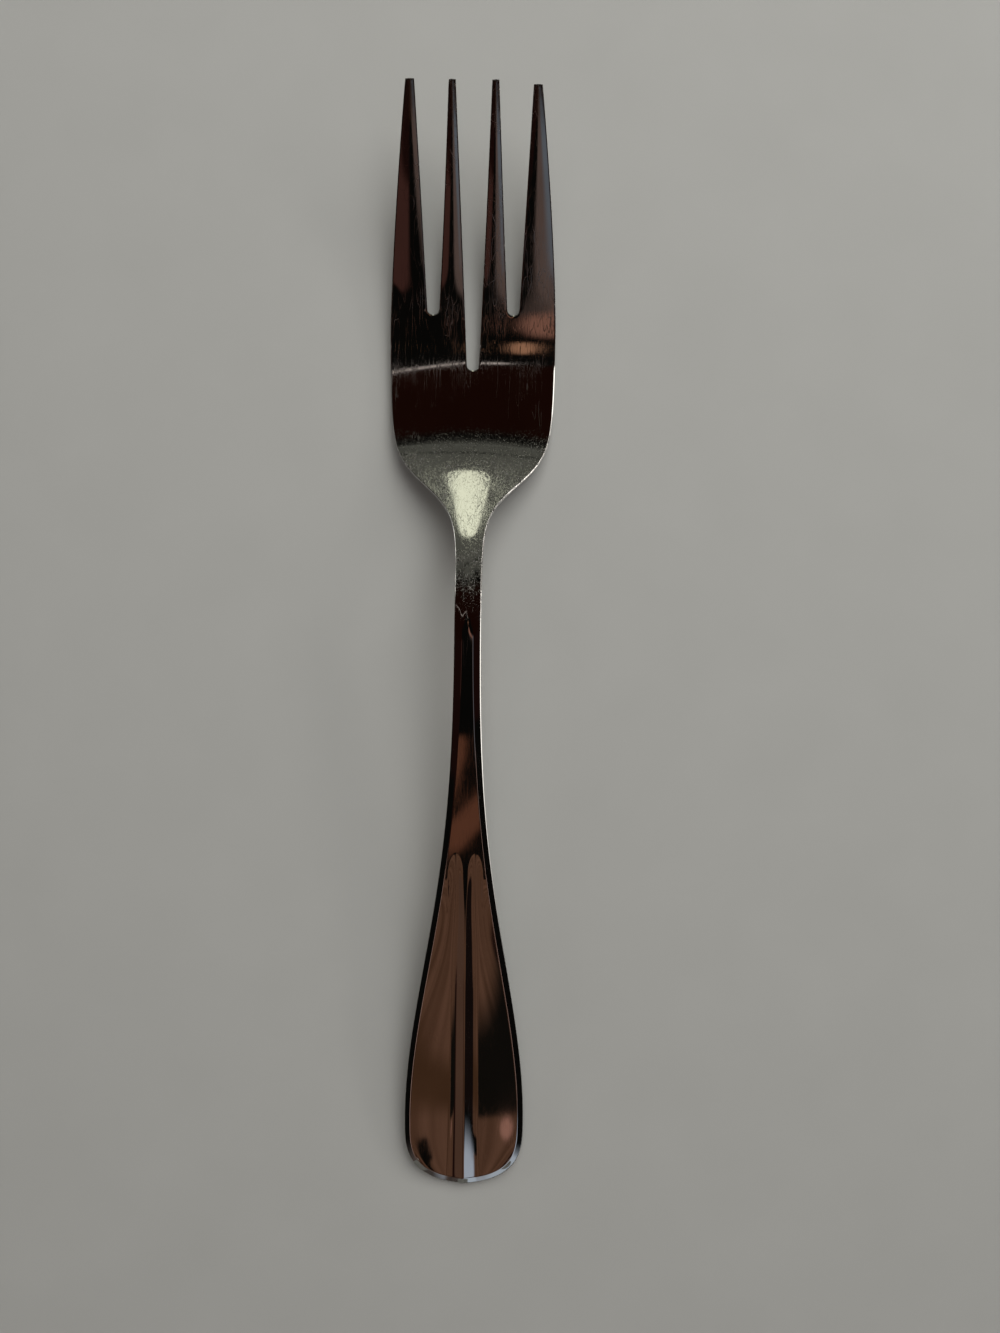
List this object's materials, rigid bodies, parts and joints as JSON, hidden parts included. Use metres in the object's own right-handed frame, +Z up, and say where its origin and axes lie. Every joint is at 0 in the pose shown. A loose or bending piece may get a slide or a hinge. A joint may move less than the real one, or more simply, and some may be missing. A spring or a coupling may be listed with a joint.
{
  "type": "dinner fork",
  "caption": "Table fork in polished stainless steel: rounded fluted handle with a sloped border, slim neck, bent head with round shoulders and tapered tines, for spearing and lifting food.",
  "frame": {"origin": "middle of the bounding box on the table plane, under the fork lying face up", "axes": "+Y from the handle's end to the tine tips, +Z up out of the bowl's hollow side, +X across"},
  "size_m": [0.0292, 0.19, 0.0143],
  "materials": {
    "steel": "stainless steel, mirror polish with fine lengthwise lines and wear scratches"
  },
  "bodies": {
    "root": {"fork": "steel"}
  },
  "joints": []
}
